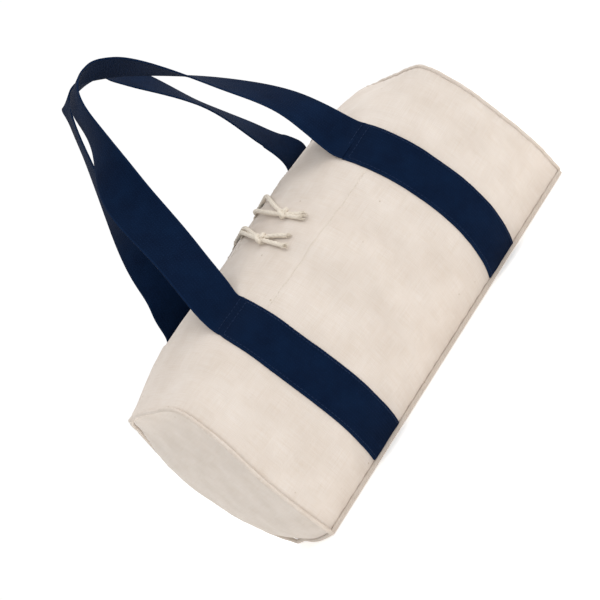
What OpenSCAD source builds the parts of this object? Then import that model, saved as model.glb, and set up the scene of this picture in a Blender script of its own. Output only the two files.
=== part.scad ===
// Soft barrel bag: a canvas body closed by a drawn mouth along its ridge, sewn webbing bands and
// two webbing handles that are held up together. All lengths are in millimetres.
// +Z is up, X runs along the bag, the front faces -Y, and the origin is under the bag's middle.

/* [Body] */
// Length of the bag at its base
bag_l = 456; // [420:1:500]
// Depth of the bag at its deepest
bag_d = 250; // [235:1:270]
// Height of the ridge above the floor
bag_h = 226; // [216:1:240]
// Depth of the flat base
base_d = 152; // [130:1:170]
// Height at which the bag is deepest
widest_z = 142; // [130:1:150]
// Drop of the ridge at each end
end_drop = 13; // [6:1:18]
// How far the top of each end leans in
end_inset = 11; // [0:1:16]
// How far the middle of each end panel sinks in
end_dish = 4; // [0:0.5:8]
// How much further in the back of the left end lies than its front
end_slant = 24; // [0:1:30]
// Roundness of the section below the deepest height
lower_round_share = 2.3; // [2.1:0.1:2.6]
// Roundness of the section above the deepest height
upper_round_share = 2.1; // [1.9:0.1:2.4]

/* [Mouth] */
// Length of the mouth along the ridge
mouth_l = 278; // [250:1:280]
// Gap between the two lips of the mouth
mouth_w = 16; // [12:1:20]
// Width of each lip's cord tunnel, measured in plan
hem_w = 18; // [16:1:20]
// Drop from the ridge to the facing's lower edge
facing_drop = 58; // [50:1:66]

/* [Cloth] */
// Thickness of the canvas
cloth_t = 1.2; // [0.8:0.1:1.6]
// Diameter of the piping round each end
piping_d = 4.4; // [3.6:0.1:5]
// Height of the welt along each long base seam
welt_h = 4.6; // [4:0.1:5.4]
// Thickness of the welt
welt_t = 3; // [2.4:0.1:3.6]
// Thickness of the base panel and its stiffener
base_t = 2.4; // [1.6:0.1:3]
// Width of the tape that binds each end seam inside
binding_w = 9; // [7:0.5:12]
// Thickness of the binding tape
binding_t = 1.6; // [1.2:0.1:2]

/* [Straps] */
// Width of the webbing
strap_w = 47; // [40:1:50]
// Thickness of the webbing
strap_t = 1.8; // [1.4:0.1:2.2]
// Distance between the middles of the two straps on one face
strap_spacing = 231; // [220:1:240]
// Drop from the ridge to the seam where a handle leaves the bag
strap_drop = 29; // [26:1:34]
// Rise of a handle above that seam
handle_rise = 250; // [220:1:280]
// Gap between the two handles where they are held together
handle_gap = 2; // [1:0.5:4]
// Thickness of the turned edge that a handle folds round
fold_d = 2.4; // [2:0.1:3]
// Gap between that edge and the handle's foot
fold_gap = 0.4; // [0.3:0.1:0.6]

/* [Cord] */
// Diameter of the drawcord
cord_d = 4.6; // [4.2:0.1:5]
// Diameter of the hole where a cord leaves its tunnel
exit_d = 7.4; // [7:0.1:8]
// Width of the stitched rim of that hole
exit_rim = 1.8; // [1.4:0.1:2.4]
// Place along the bag of the left cord's holes
left_exit_x = 0; // [-4:1:4]
// Place along the bag of the right cord's front hole
right_front_exit_x = 26; // [22:1:30]
// Place along the bag of the right cord's back hole
right_back_exit_x = 42; // [38:1:46]
// Diameter of the knot
knot_d = 12.6; // [11:0.1:14]
// Length of the knot along the cords
knot_l = 15; // [13:0.5:18]

/* [Stitching] */
// Thickness of the sewing thread
thread_d = 0.6; // [0.4:0.1:0.8]
// Distance from a webbing edge to its row of stitches
edge_inset = 3; // [2:0.5:5]
// Distance from a handle's seam to the first row sewn across
tack_drop = 8; // [7:0.5:10]
// Distance between the two rows sewn across
tack_gap = 9; // [6:0.5:12]

/* [Hidden] */

canvas_colour = "#e6dccf";
lining_colour = "#ddd0bf";
webbing_colour = "#12284a";
thread_colour = "#efe7da";
navy_thread_colour = "#1b3358";
cord_colour = "#eee5d6";

half_l = bag_l / 2;
half_d = bag_d / 2;
// Pieces that are sewn together press into each other by this much
sink = 0.1;
// Space round a cord inside its tunnel
tunnel_gap = 0.5;
// A cut runs past both faces of what it goes through by this much
overrun = 3;
// The middle of the piping is this far out from the face and from the end
piping_out = (piping_d / 2 - sink) / sqrt(2);

// The ridge drops toward the ends by this power of the place along the bag
drop_power = 4;
inset_power = 6;
// The slant of the left end grows toward the back by this power of the place across it
slant_power = 2;
// Step of a section's share that is used to find its slope
probe_share = 0.002;

front_side = -1;
back_side = 1;
left_side = -1;
right_side = 1;

function unit(v) = v / norm(v);

// Section of the body
// The lower half of the section is a superellipse cut off at the base, the upper half ends at the mouth
low_reach = (widest_z - welt_h) / pow(1 - pow(base_d / bag_d, lower_round_share), 1 / lower_round_share);
low_turn = asin(pow((widest_z - welt_h) / low_reach, lower_round_share / 2));
high_turn = acos(pow(mouth_w / bag_d, upper_round_share / 2));

function ridge_z(s) = bag_h - end_drop * pow(abs(s), drop_power);
function turn_at(q) = q * (low_turn + high_turn) - low_turn;
function lower_ring(a) = [
    half_d * pow(cos(a), 2 / lower_round_share),
    widest_z - low_reach * pow(-sin(a), 2 / lower_round_share)];
function upper_ring(a, s) = [
    half_d * pow(cos(a), 2 / upper_round_share),
    widest_z + (ridge_z(s) - widest_z) * pow(sin(a), 2 / upper_round_share)];
// Distance out from the middle and height, at share s of the half length and share q up the face
function ring(s, q) = turn_at(q) < 0 ? lower_ring(turn_at(q)) : upper_ring(turn_at(q), s);
function outward(s, q) =
    let(along = unit(ring(s, min(q + probe_share, 1)) - ring(s, max(q - probe_share, 0))))
    [along[1], -along[0]];
// Share of the half length at which a face meets the inside of an end
end_edge = (half_l - cloth_t) / half_l;
function lean_in(s, z) =
    end_inset * pow(z / bag_h, drop_power) * pow(min(abs(s) / end_edge, 1), inset_power);
function end_x(s, z) = s * half_l - sign(s) * lean_in(s, z);
function slant(s, y) = s > 0 ? 0 :
    end_slant * pow(min(-s / end_edge, 1), inset_power) * pow((y + half_d) / bag_d, slant_power);
// A point on a face, raised from its outer skin by lift
function skin(s, q, side, lift) =
    let(p = ring(s, q), n = outward(s, q), y = side * (p[0] + n[0] * lift))
    [end_x(s, p[1]) + slant(s, y), y, p[1] + n[1] * lift];

// Share up the face at a height, and at a distance out from the middle above the deepest height
function turn_at_z(z) = z < widest_z
    ? -asin(pow((widest_z - z) / low_reach, lower_round_share / 2))
    : asin(pow((z - widest_z) / (bag_h - widest_z), upper_round_share / 2));
function share_at_z(z) = (low_turn + turn_at_z(z)) / (low_turn + high_turn);
function share_at_y(y) = (low_turn + acos(pow(y / half_d, upper_round_share / 2))) / (low_turn + high_turn);
function share_at_x(x) = x / half_l;
// Share of the face that a length along it takes up near share q
function share_for(length, q) =
    length * 2 * probe_share / norm(ring(0, min(q + probe_share, 1)) - ring(0, q - probe_share));

facing_share = share_at_z(bag_h - facing_drop);
strap_share = share_at_z(bag_h - strap_drop);
hem_share = share_at_y(mouth_w / 2 + hem_w);
tunnel_share = (hem_share + 1) / 2;
bind_share = share_at_x(half_l - cloth_t - binding_t);
mouth_share = share_at_x(mouth_l / 2);

// The faces share one grid, so that sewn layers meet face to face
face_steps = 10;
facing_steps = 3;
strap_steps = 4;
hem_steps = 6;
end_steps = 3;
middle_steps = 6;
function steps(from, to, count) = [for (i = [0 : count - 1]) from + (to - from) * i / count];
// A band starts clear of the welt and ends under the turned edge at the handle's foot
band_start_share = share_for(strap_t, 0);
band_end_share = strap_share + share_for(fold_d / 2, strap_share);
function row_shares(q) = [q - share_for(thread_d / 2, q), q + share_for(thread_d / 2, q)];
tack_shares = [for (drop = [tack_drop, tack_drop + tack_gap])
    row_shares(strap_share - share_for(drop, strap_share))];
function rising(values) = len(values) < 2 ? values :
    let(first = values[0])
    concat(
        rising([for (v = values) if (v < first) v]),
        [first],
        rising([for (v = values) if (v > first) v]));
hem_rows = concat(steps(hem_share, 1, hem_steps), [1]);
face_rows = rising(concat(
    steps(0, facing_share, face_steps),
    steps(facing_share, strap_share, facing_steps),
    steps(strap_share, hem_share, strap_steps),
    hem_rows,
    [band_start_share, band_end_share],
    [for (shares = tack_shares) each shares]));
function rows_between(low, high) = [for (q = face_rows) if (q >= low && q <= high) q];
band_left = share_at_x(strap_spacing / 2 + strap_w / 2);
band_middle = share_at_x(strap_spacing / 2);
band_right = share_at_x(strap_spacing / 2 - strap_w / 2);
band_columns = [band_right, band_middle, band_left];
end_columns = concat(steps(band_left, bind_share, end_steps), [bind_share]);
middle_columns = steps(-band_right, band_right, middle_steps);
right_columns = concat(steps(band_right, band_left, 2), end_columns);
left_columns = [for (i = [len(right_columns) - 1 : -1 : 0]) -right_columns[i]];
body_columns = concat(left_columns, [for (i = [1 : middle_steps - 1]) middle_columns[i]], right_columns);
face_columns = concat([-end_edge], body_columns, [end_edge]);

// Closed slab between two layers of points, each a grid with columns points to a row
function layer_faces(columns, rows, start, flip) = [
    for (j = [0 : rows - 2]) for (i = [0 : columns - 2])
    let(a = start + j * columns + i, b = a + 1, d = a + columns, c = d + 1)
    each (flip ? [[a, b, c], [a, c, d]] : [[a, c, b], [a, d, c]])];
function border_edges(columns, rows) =
    let(top = (rows - 1) * columns)
    concat(
        [for (i = [0 : columns - 2]) [i, i + 1]],
        [for (j = [1 : rows - 1]) [j * columns - 1, (j + 1) * columns - 1]],
        [for (i = [columns - 1 : -1 : 1]) [top + i, top + i - 1]],
        [for (j = [rows - 1 : -1 : 1]) [j * columns, (j - 1) * columns]]);
function border_faces(columns, rows, flip) = [
    for (edge = border_edges(columns, rows))
    let(p = edge[0], q = edge[1], n = columns * rows)
    each (flip ? [[p + n, q, q + n], [p + n, p, q]] : [[p + n, q + n, q], [p + n, q, p]])];
module slab(low, high, columns, flip) {
    rows = len(low) / columns;
    polyhedron(
        points = concat(low, high),
        faces = concat(
            layer_faces(columns, rows, 0, !flip),
            layer_faces(columns, rows, columns * rows, flip),
            border_faces(columns, rows, flip)),
        convexity = 4);
}

// A layer of cloth on a face, between two lifts, each given for every row
module layer(columns, rows, side, low_lifts, high_lifts) {
    low = [for (j = [0 : len(rows) - 1]) for (s = columns) skin(s, rows[j], side, low_lifts[j])];
    high = [for (j = [0 : len(rows) - 1]) for (s = columns) skin(s, rows[j], side, high_lifts[j])];
    slab(low, high, len(columns), side == back_side);
}
function even(lift, rows) = [for (row = rows) lift];
module even_layer(columns, rows, side, low_lift, high_lift) {
    layer(columns, rows, side, even(low_lift, rows), even(high_lift, rows));
}

// Solid through a list of rings with the same number of points
// Opposite sides are split along the same diagonal, so that a twisted strap keeps its thickness
function side_faces(count, size, closed) = [
    for (r = [0 : count - (closed ? 1 : 2)]) for (m = [0 : size - 1])
    let(a = r * size + m, b = r * size + (m + 1) % size)
    let(up = ((r + 1) % count) * size, d = up + m, c = up + (m + 1) % size)
    each (m < size / 2 ? [[a, d, c], [a, c, b]] : [[a, d, b], [d, c, b]])];
module loft(rings, closed) {
    size = len(rings[0]);
    last = (len(rings) - 1) * size;
    caps = closed ? [] : [[for (m = [0 : size - 1]) m], [for (m = [size - 1 : -1 : 0]) last + m]];
    polyhedron(
        points = [for (r = rings) each r],
        faces = concat(side_faces(len(rings), size, closed), caps),
        convexity = 6);
}
function heading(path, i, closed) =
    let(n = len(path))
    unit(closed ? path[(i + 1) % n] - path[(i + n - 1) % n] : path[min(i + 1, n - 1)] - path[max(i - 1, 0)]);
function tube_rings(path, radius, sides, reference, closed) = [
    for (i = [0 : len(path) - 1])
    let(t = heading(path, i, closed), u = unit(cross(reference, t)), v = cross(t, u))
    [for (m = [0 : sides - 1]) path[i] + radius * (cos(360 * m / sides) * u + sin(360 * m / sides) * v)]];

// Smooth curve through a list of points, which may carry further values
function curve_point(p, k, f) =
    let(a = p[max(k - 1, 0)], b = p[k], c = p[k + 1], d = p[min(k + 2, len(p) - 1)])
    (2 * b + (c - a) * f + (2 * a - 5 * b + 4 * c - d) * f * f + (3 * b - a - 3 * c + d) * f * f * f) / 2;
function curve(p, count) = concat(
    [for (k = [0 : len(p) - 2]) for (m = [0 : count - 1]) curve_point(p, k, m / count)],
    [p[len(p) - 1]]);

// Faces
function exit_places(side) =
    side == front_side ? [left_exit_x, right_front_exit_x] : [left_exit_x, right_back_exit_x];
module along_exit(x, side) {
    middle = skin(share_at_x(x), tunnel_share, side, 0);
    slope = outward(share_at_x(x), tunnel_share);
    translate(middle) rotate([-side * atan2(slope[0], slope[1]), 0, 0]) children();
}
module face_panel(side) {
    color(canvas_colour) difference() {
        even_layer(face_columns, face_rows, side, -cloth_t, 0);
        for (x = exit_places(side)) {
            along_exit(x, side) translate([0, 0, -cloth_t - overrun])
                cylinder(d = exit_d, h = cloth_t + 2 * overrun, $fn = 32);
        }
    }
}
module front_panel() { face_panel(front_side); }
module back_panel() { face_panel(back_side); }

// Base
// The base panel and its welts end against the piping
base_end = half_l + piping_out - piping_d / 2 + sink;
base_reach = base_d / 2 - welt_t / 2;
base_piping_steps = 4;
// Places across the base at which the piping turns, from the back to the front
base_places = [for (i = [0 : base_piping_steps]) (1 - 2 * i / base_piping_steps) * (base_d / 2 - welt_t)];
module base_panel() {
    left_edge = concat([base_reach], base_places, [-base_reach]);
    color(canvas_colour) linear_extrude(base_t) polygon(concat(
        [for (y = left_edge) [-base_end + slant(left_side, y), y]],
        [[base_end, -base_reach], [base_end, base_reach]]));
}
welt_round = 0.8;
module base_welt(side) {
    start = -base_end + slant(left_side, side * base_d / 2);
    color(canvas_colour) translate([start, side * base_d / 2, 0]) rotate([90, 0, 90])
        linear_extrude(base_end - start) translate([-welt_t / 2, 0]) offset(r = welt_round, $fn = 16)
        translate([welt_round, welt_round]) square([welt_t - 2 * welt_round, welt_h - 2 * welt_round]);
}
module front_base_welt() { base_welt(front_side); }
module back_base_welt() { base_welt(back_side); }

// Ends
end_across = 8;
function end_point(side, row, share, depth) =
    let(p = ring(1, row), dish = end_dish * sin(180 * (p[1] - welt_h) / (bag_h - welt_h)))
    let(x = end_x(1, p[1]) - depth - dish * pow(1 - share * share, 2))
    [side * x + slant(side, p[0] * share), p[0] * share, p[1]];
function across_shares() = [for (i = [0 : end_across]) 2 * i / end_across - 1];
module end_panel(side) {
    low = [for (q = face_rows) for (share = across_shares()) end_point(side, q, share, cloth_t)];
    high = [for (q = face_rows) for (share = across_shares()) end_point(side, q, share, 0)];
    color(canvas_colour) slab(low, high, end_across + 1, side == left_side);
}
module left_end_panel() { end_panel(left_side); }
module right_end_panel() { end_panel(right_side); }

// The piping follows the corner between a face and an end
piping_sides = 8;
function piping_point(side, face, q) =
    let(p = ring(1, q), n = outward(1, q), y = face * (p[0] + n[0] * piping_out))
    [side * (end_x(1, p[1]) + piping_out) + slant(side, y), y, p[1] + n[1] * piping_out];
function piping_path(side) = concat(
    [for (q = face_rows) piping_point(side, front_side, q)],
    [for (i = [len(face_rows) - 1 : -1 : 0]) piping_point(side, back_side, face_rows[i])],
    [for (y = base_places) [side * (half_l + piping_out) + slant(side, y), y, piping_d / 2]]);
module end_piping(side) {
    color(canvas_colour)
        loft(tube_rings(piping_path(side), piping_d / 2, piping_sides, [1, 0, 0], true), true);
}
module left_end_piping() { end_piping(left_side); }
module right_end_piping() { end_piping(right_side); }

module seam_binding(side) {
    columns = side == left_side ? [-end_edge, -bind_share] : [bind_share, end_edge];
    color(lining_colour) {
        even_layer(columns, face_rows, front_side, -cloth_t - binding_w, -cloth_t);
        even_layer(columns, face_rows, back_side, -cloth_t - binding_w, -cloth_t);
    }
}
module left_seam_binding() { seam_binding(left_side); }
module right_seam_binding() { seam_binding(right_side); }

// Strips that close the ridge beyond the mouth
strip_columns = concat([mouth_share], [for (s = end_columns) if (s > mouth_share) s], [end_edge]);
strip_across = [-1, 0, 1];
function strip_point(s, share, depth) =
    let(p = ring(s, 1), y = share * p[0])
    [end_x(s, p[1]) + slant(s, y), y, p[1] - depth + cloth_t * (1 - abs(share)) / 2];
module top_strip(side) {
    last = len(strip_columns) - 1;
    places = side == right_side ? strip_columns : [for (i = [last : -1 : 0]) -strip_columns[i]];
    low = [for (share = strip_across) for (s = places) strip_point(s, share, cloth_t)];
    high = [for (share = strip_across) for (s = places) strip_point(s, share, 0)];
    color(canvas_colour) slab(low, high, len(places), false);
}
module left_top_strip() { top_strip(left_side); }
module right_top_strip() { top_strip(right_side); }

// Facing and cord tunnel inside the mouth
module facing(side) {
    color(lining_colour)
        even_layer(body_columns, rows_between(facing_share, hem_share), side, -2 * cloth_t, -cloth_t);
}
module front_facing() { facing(front_side); }
module back_facing() { facing(back_side); }

tunnel_depth = cord_d + tunnel_gap;
tunnel_shares = [0, 0, 1, 1, 1, 0, 0];
mouth_columns = concat([-mouth_share], [for (s = body_columns) if (abs(s) < mouth_share) s], [mouth_share]);
module mouth_hem(side) {
    color(lining_colour) layer(mouth_columns, hem_rows, side,
        [for (share = tunnel_shares) -2 * cloth_t - share * tunnel_depth],
        [for (share = tunnel_shares) -cloth_t - share * tunnel_depth]);
}
module front_mouth_hem() { mouth_hem(front_side); }
module back_mouth_hem() { mouth_hem(back_side); }

// Webbing sewn to the faces
module band(side, place) {
    columns = [for (i = [0 : 2]) place < 0 ? -band_columns[2 - i] : band_columns[i]];
    color(webbing_colour)
        even_layer(columns, rows_between(band_start_share, band_end_share), side, 0, strap_t);
}
module front_left_band() { band(front_side, left_side); }
module front_right_band() { band(front_side, right_side); }
module back_left_band() { band(back_side, left_side); }
module back_right_band() { band(back_side, right_side); }

module stitch_row(columns, rows, side, lift) {
    even_layer(columns, rows, side, lift - thread_d / 2, lift + thread_d / 2);
}
module edge_stitches(side, place) {
    color(navy_thread_colour) for (edge = [-1, 1]) {
        x = place * strap_spacing / 2 + edge * (strap_w / 2 - edge_inset);
        columns = [share_at_x(x - thread_d / 2), share_at_x(x + thread_d / 2)];
        stitch_row(columns, rows_between(band_start_share, tack_shares[0][1]), side, strap_t);
    }
}
module front_left_edge_stitches() { edge_stitches(front_side, left_side); }
module front_right_edge_stitches() { edge_stitches(front_side, right_side); }
module back_left_edge_stitches() { edge_stitches(back_side, left_side); }
module back_right_edge_stitches() { edge_stitches(back_side, right_side); }

module tack_rows(side, place) {
    reach = strap_w / 2 - edge_inset - thread_d;
    middle = place * strap_spacing / 2;
    columns = [share_at_x(middle - reach), place * band_middle, share_at_x(middle + reach)];
    color(navy_thread_colour) for (shares = tack_shares) stitch_row(columns, shares, side, strap_t);
}
module front_left_tack_rows() { tack_rows(front_side, left_side); }
module front_right_tack_rows() { tack_rows(front_side, right_side); }
module back_left_tack_rows() { tack_rows(back_side, left_side); }
module back_right_tack_rows() { tack_rows(back_side, right_side); }

// Rows of stitches that hold the facing and the tunnel
between_bands = [for (s = body_columns) if (abs(s) < band_right) s];
stitch_reach = band_right - share_at_x(edge_inset);
stitch_columns = concat([-stitch_reach], between_bands, [stitch_reach]);
module face_stitches(side, q) {
    color(thread_colour) stitch_row(stitch_columns, row_shares(q), side, 0);
}
module front_facing_stitches() { face_stitches(front_side, facing_share); }
module back_facing_stitches() { face_stitches(back_side, facing_share); }
module front_hem_stitches() { face_stitches(front_side, hem_share); }
module back_hem_stitches() { face_stitches(back_side, hem_share); }

// Handles
// Places along X and heights of a handle's route, as shares of its rise, from its left foot to its right
front_x_shares = [-0.34, -0.23, -0.07, 0.14, 0.30, 0.40, 0.46];
front_z_shares = [0.28, 0.56, 0.81, 1, 0.80, 0.55, 0.28];
// Angle of the webbing's width about Z at each place
front_turn_degs = [0, -5, -28, -86, -90, -105, -130, -152, -180];
front_lean_share = 1;
back_x_shares = [-0.31, -0.22, -0.06, 0.14, 0.35, 0.46, 0.52];
back_z_shares = [0.25, 0.53, 0.81, 1, 0.84, 0.57, 0.29];
back_turn_degs = [0, -23, -83, -102, -110, -130, -122, -140, -180];
back_lean_share = 1.8;
handle_steps = 6;
// The width is square to the route from this share of the way up a leg
square_share = 0.12;
// The turned edge is level and the seam slopes with the ridge, so it is sewn this share of its thickness deep
fold_sink_share = 0.24;
fold_lift = strap_t + fold_d / 2 - fold_d * fold_sink_share;
function foot(side, place) = skin(place * band_middle, strap_share, side, fold_lift);
module fold(side, place) {
    color(webbing_colour) translate(foot(side, place)) rotate([0, 90, 0])
        cylinder(d = fold_d, h = strap_w, center = true, $fn = 24);
}
module front_left_fold() { fold(front_side, left_side); }
module front_right_fold() { fold(front_side, right_side); }
module back_left_fold() { fold(back_side, left_side); }
module back_right_fold() { fold(back_side, right_side); }

function handle_y(side, share, lean) =
    let(near = handle_gap / 2 + strap_w / 2)
    side * (near + (abs(foot(side, 1)[1]) - near) * pow(max(1 - share, 0), lean));
function place_of(p) = [p[0], p[1], p[2]];
// The webbing starts beside the turned edge, on its way up
function leg_start(side, place, next, turn) =
    let(start = foot(side, place), way = unit([0, next[1] - start[1], next[2] - start[2]]))
    let(p = start + way * (fold_d / 2 + fold_gap))
    [p[0], p[1], p[2], turn];
function handle_controls(side, xs, zs, degs, lean) =
    let(
        z = foot(side, left_side)[2],
        last = len(xs) - 1,
        middle = [for (i = [0 : last])
            [handle_rise * xs[i], handle_y(side, zs[i], lean), z + handle_rise * zs[i], degs[i + 1]]])
    concat(
        [leg_start(side, left_side, middle[0], degs[0])],
        middle,
        [leg_start(side, right_side, middle[last], degs[last + 2])]);
function webbing_ring(path, i) =
    let(
        centre = place_of(path[i]),
        t = heading([for (p = path) place_of(p)], i, false),
        way = min(i, len(path) - 1 - i) / (len(path) - 1),
        flat = [cos(path[i][3]), sin(path[i][3]), 0],
        u = unit(flat - min(way / square_share, 1) * t * (flat * t)),
        v = unit(cross(t, u)))
    [for (c = [[-1, -1], [1, -1], [1, 1], [-1, 1]])
        centre + c[0] * u * strap_w / 2 + c[1] * v * strap_t / 2];
module handle(side, xs, zs, degs, lean) {
    path = curve(handle_controls(side, xs, zs, degs, lean), handle_steps);
    color(webbing_colour) loft([for (i = [0 : len(path) - 1]) webbing_ring(path, i)], false);
}
module front_handle() {
    handle(front_side, front_x_shares, front_z_shares, front_turn_degs, front_lean_share);
}
module back_handle() {
    handle(back_side, back_x_shares, back_z_shares, back_turn_degs, back_lean_share);
}

// Drawcords
// Each cord runs in the tunnels of both lips, round its own end of the mouth
run_sides = 8;
run_lift = -cloth_t - tunnel_depth + cord_d / 2 - sink;
function run_spot(x, side) = skin(share_at_x(x), tunnel_share, side, run_lift);
turn_out = 8;
turn_steps = 6;
run_steps = 5;
function run_line(from, to, side) =
    [for (i = [0 : run_steps]) run_spot(from + (to - from) * i / run_steps, side)];
function run_turn(x, place) =
    let(a = run_spot(x, front_side), r = abs(a[1]))
    [for (i = [1 : turn_steps - 1])
        [x + place * turn_out * sin(180 * i / turn_steps), -r * cos(180 * i / turn_steps), a[2]]];
function run_path(place, front_x, back_x) =
    let(stop = place * mouth_l / 2)
    concat(run_line(front_x, stop, front_side), run_turn(stop, place), run_line(stop, back_x, back_side));
module drawcord_run(place, front_x, back_x) {
    clear = place * (cord_d / 2 + tunnel_gap);
    path = run_path(place, front_x + clear, back_x + clear);
    color(cord_colour) loft(tube_rings(path, cord_d / 2, run_sides, [0, 0, 1], false), false);
}
module left_drawcord_run() { drawcord_run(left_side, left_exit_x, left_exit_x); }
module right_drawcord_run() { drawcord_run(right_side, right_front_exit_x, right_back_exit_x); }

module eyelet(x, side) {
    color(thread_colour) along_exit(x, side) translate([0, 0, -sink]) difference() {
        cylinder(d = exit_d + 2 * exit_rim, h = thread_d + sink, $fn = 32);
        translate([0, 0, -overrun]) cylinder(d = exit_d, h = 3 * overrun, $fn = 32);
    }
}
module left_front_eyelet() { eyelet(left_exit_x, front_side); }
module right_front_eyelet() { eyelet(right_front_exit_x, front_side); }
module left_back_eyelet() { eyelet(left_exit_x, back_side); }
module right_back_eyelet() { eyelet(right_back_exit_x, back_side); }

// Routes of the free cords, from the hole to the frayed end
left_front_route = [[0, -17, 222], [0, -17, 227], [-1, -20, 230], [-3, -27, 230], [-7, -40, 227],
    [-12, -54, 222], [-18, -68, 217], [-22, -80, 214], [-24, -88, 212], [-26, -95, 207], [-28, -102, 198],
    [-29, -109, 190], [-28, -115, 182]];
left_back_route = [[0, 17, 222], [0, 17, 227], [0, 14, 230], [1, 8, 230], [3, -4, 229], [4, -20, 229],
    [1, -38, 227], [-6, -56, 222], [-14, -72, 217], [-21, -82, 214], [-24, -90, 211],
    [-22, -98, 203], [-19, -105, 195], [-17, -112, 187]];
right_front_route = [[26, -17, 222], [26, -17, 227], [26, -20, 230], [25, -27, 230], [22, -40, 227],
    [18, -54, 222], [13, -68, 217], [9, -80, 214], [7, -88, 212], [5, -95, 207], [3, -102, 198],
    [2, -108, 191], [2, -114, 184]];
right_back_route = [[42, 17, 222], [42, 17, 227], [42, 14, 230], [42, 8, 230], [41, -4, 229], [38, -20, 229],
    [33, -38, 227], [25, -56, 222], [16, -72, 217], [10, -82, 214], [8, -90, 211],
    [10, -98, 203], [12, -105, 195], [12, -111, 188]];
cord_sides = 8;
module free_cord(route) {
    color(cord_colour) loft(tube_rings(route, cord_d / 2, cord_sides, [1, 0, 0], false), false);
}
module left_front_cord() { free_cord(left_front_route); }
module left_back_cord() { free_cord(left_back_route); }
module right_front_cord() { free_cord(right_front_route); }
module right_back_cord() { free_cord(right_back_route); }

module knot(route, index) {
    middle = route[index];
    along = unit(route[index + 1] - route[index - 1]);
    color(cord_colour) hull() for (end = [-1, 1]) {
        translate(middle + end * along * (knot_l - knot_d) / 2) sphere(d = knot_d, $fn = 20);
    }
}
knot_index = 8;
module left_knot() { knot(left_front_route, knot_index); }
module right_knot() { knot(right_front_route, knot_index); }

front_panel();
back_panel();
base_panel();
left_end_panel();
right_end_panel();
left_top_strip();
right_top_strip();
left_end_piping();
right_end_piping();
front_base_welt();
back_base_welt();
left_seam_binding();
right_seam_binding();
front_facing();
back_facing();
front_mouth_hem();
back_mouth_hem();
front_left_band();
front_right_band();
back_left_band();
back_right_band();
front_left_fold();
front_right_fold();
back_left_fold();
back_right_fold();
front_handle();
back_handle();
front_left_edge_stitches();
front_right_edge_stitches();
back_left_edge_stitches();
back_right_edge_stitches();
front_left_tack_rows();
front_right_tack_rows();
back_left_tack_rows();
back_right_tack_rows();
front_facing_stitches();
back_facing_stitches();
front_hem_stitches();
back_hem_stitches();
left_drawcord_run();
right_drawcord_run();
left_front_eyelet();
right_front_eyelet();
left_back_eyelet();
right_back_eyelet();
left_front_cord();
left_back_cord();
right_front_cord();
right_back_cord();
left_knot();
right_knot();
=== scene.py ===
import math
import bpy
import numpy as np
from mathutils import Euler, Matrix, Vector


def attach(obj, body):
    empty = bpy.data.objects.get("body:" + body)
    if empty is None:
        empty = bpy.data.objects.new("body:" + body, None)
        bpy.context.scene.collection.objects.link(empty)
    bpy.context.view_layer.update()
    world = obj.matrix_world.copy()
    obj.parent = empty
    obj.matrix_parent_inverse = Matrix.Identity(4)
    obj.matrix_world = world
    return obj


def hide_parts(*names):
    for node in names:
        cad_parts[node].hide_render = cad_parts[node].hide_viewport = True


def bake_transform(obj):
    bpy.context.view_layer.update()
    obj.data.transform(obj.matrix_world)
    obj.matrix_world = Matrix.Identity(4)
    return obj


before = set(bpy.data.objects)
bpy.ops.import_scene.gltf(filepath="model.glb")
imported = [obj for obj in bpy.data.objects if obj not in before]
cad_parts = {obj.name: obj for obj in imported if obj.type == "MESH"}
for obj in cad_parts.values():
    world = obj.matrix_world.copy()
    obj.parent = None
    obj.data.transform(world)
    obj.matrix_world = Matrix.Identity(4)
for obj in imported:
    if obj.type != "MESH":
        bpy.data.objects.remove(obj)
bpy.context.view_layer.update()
print("frame loaded,", len(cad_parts), "nodes")

mm = 0.001


# small tools

def linear(hexColour):
    # sRGB hex to the linear colour that the shader wants
    parts = [int(hexColour[i:i + 2], 16) / 255 for i in (1, 3, 5)]
    return tuple([p / 12.92 if p <= 0.04045 else ((p + 0.055) / 1.055) ** 2.4 for p in parts] + [1.0])


def addNode(tree, kind, settings=None, links=None, out=0):
    # one shader node, gives back its output of that name, or else its first
    node = tree.nodes.new("ShaderNode" + kind)
    for key, value in (settings or {}).items():
        if isinstance(key, int) or key in node.inputs:
            node.inputs[key].default_value = value
        else:
            setattr(node, key, value)
    for key, source in (links or {}).items():
        tree.links.new(source, node.inputs[key])
    return node.outputs[out] if node.outputs else None


def emptyTree(owner):
    owner.use_nodes = True
    owner.node_tree.nodes.clear()
    return owner.node_tree


def waveScale(spacing):
    # scale of a wave texture whose bands are this many mm apart
    return 0.31416 / (spacing * mm)


def noiseScale(size):
    # scale of a noise whose lumps are about this many mm across
    return 1 / (size * mm)


def smoothStep(x, low, high):
    t = np.clip((x - low) / (high - low), 0, 1)
    return t * t * (3 - 2 * t)


def between(pair, share):
    return pair[0] + (pair[1] - pair[0]) * share


def unitRows(v):
    return v / np.maximum(np.linalg.norm(v, axis=-1, keepdims=True), 1e-12)


def curveThrough(controls, count):
    # smooth curve through rows of numbers, with so many steps from each row to the next
    p = np.array(controls, float)
    out = []
    for k in range(len(p) - 1):
        a, b, c, d = p[max(k - 1, 0)], p[k], p[k + 1], p[min(k + 2, len(p) - 1)]
        for m in range(count):
            f = m / count
            out.append((2 * b + (c - a) * f + (2 * a - 5 * b + 4 * c - d) * f * f
                        + (3 * b - a - 3 * c + d) * f ** 3) / 2)
    out.append(p[-1])
    return np.array(out)


def readCurve(x, controls, count=8):
    line = curveThrough(controls, count)
    return np.interp(x, line[:, 0], line[:, 1])


def lengthsAlong(path):
    return np.concatenate([[0], np.cumsum(np.linalg.norm(np.diff(path, axis=0), axis=1))])


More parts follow.
